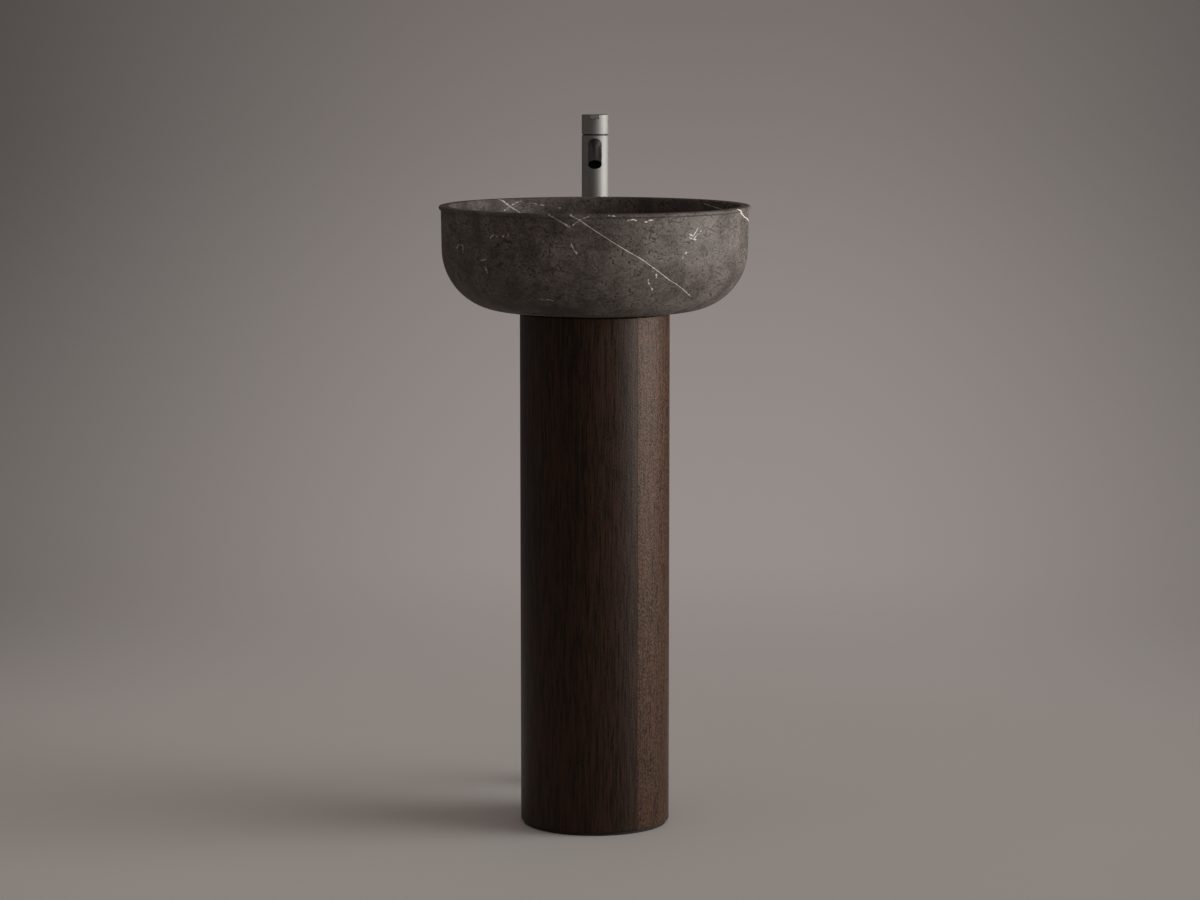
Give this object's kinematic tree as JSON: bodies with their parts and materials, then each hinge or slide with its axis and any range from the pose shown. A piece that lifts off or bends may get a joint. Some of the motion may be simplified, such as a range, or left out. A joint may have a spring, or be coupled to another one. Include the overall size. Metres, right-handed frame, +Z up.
{
  "type": "washstand",
  "caption": "Round stone basin on a dark wooden column with a floor-standing mixer tap behind it, turning tap cap, push plug and pull-off service panel.",
  "frame": {"origin": "on the floor at the column's axis, the centre of the floor anchor holes", "axes": "+Z up, -Y to the user at the front, +Y back to the tap, +X to the user's right"},
  "size_m": [0.448, 0.5379, 1.021],
  "materials": {
    "stone": "honed dark grey-brown stone with thin white veins",
    "dark_oak": "smoked oak veneer, upright grain, satin lacquer",
    "plywood": "bare birch plywood",
    "black_rubber": "matt black rubber",
    "zinc_steel": "zinc-plated steel",
    "tap_steel": "brushed stainless steel, fine lengthwise brushing",
    "waste_steel": "brushed stainless steel, turned face",
    "brass": "bare brass",
    "copper": "bare copper tube",
    "chrome": "bright chrome plate",
    "grey_plastic": "grey drain pipe plastic",
    "black_plastic": "black moulded plastic"
  },
  "bodies": {
    "washstand": {"base_ring": "plywood", "basin_bowl": "stone", "bearing_gasket": "black_rubber", "bolt_washers": "zinc_steel", "bowl_bolts": "zinc_steel", "bracket_screws": "zinc_steel", "cartridge_housing": "black_plastic", "cartridge_nut": "brass", "click_cartridge": "black_plastic", "click_spring": "zinc_steel", "column_shell": "dark_oak", "cover_o_ring": "black_rubber", "drain_nut": "chrome", "drain_pipe": "grey_plastic", "drain_seal": "black_rubber", "floor_brackets": "zinc_steel", "flow_straightener": "black_plastic", "handle_glide_ring": "black_plastic", "hatch_battens": "plywood", "hatch_magnets": "zinc_steel", "plinth_ring": "black_rubber", "spout": "tap_steel", "spout_seal": "black_rubber", "stone_inserts": "brass", "supply_tube_cold": "copper", "supply_tube_hot": "copper", "supply_tube_nuts": "brass", "tap_floor_cover": "tap_steel", "tap_floor_flange": "zinc_steel", "tap_riser": "tap_steel", "top_ring": "plywood", "trap_body": "chrome", "trap_cup": "chrome", "trap_cup_seal": "black_rubber", "trap_inlet_nut": "chrome", "trap_inlet_pipe": "chrome", "trap_inlet_seal": "black_rubber", "trap_union_nut": "chrome", "trap_union_seal": "black_rubber", "valve_body": "brass", "waste_back_nut": "brass", "waste_body": "waste_steel", "waste_flange_seal": "black_rubber", "waste_rubber_washer": "black_rubber"},
    "tap_handle": {"handle_cap": "tap_steel", "cartridge_stem": "brass", "handle_grub_screw": "zinc_steel", "handle_screw_plug": "black_plastic"},
    "waste_plug": {"waste_plug": "waste_steel", "plug_seal": "black_rubber"},
    "service_panel": {"hatch_panel": "dark_oak", "hatch_strike_plates": "zinc_steel"}
  },
  "joints": [
    {"name": "tap_handle_turn", "type": "hinge", "parent": "washstand", "child": "tap_handle", "pos_m": [0, 0.264, 1], "axis": [0, 0, 1], "range_deg": [0, 110]},
    {"name": "waste_plug_push", "type": "slide", "parent": "washstand", "child": "waste_plug", "axis": [0, 0, 1], "range_m": [-0.006, 0], "stiffness_N_per_m": 400, "springref_m": 0.006, "deforming": ["click_spring"]},
    {"name": "service_panel_pull", "type": "slide", "parent": "washstand", "child": "service_panel", "axis": [0, 1, 0], "range_m": [0, 0.1]}
  ]
}
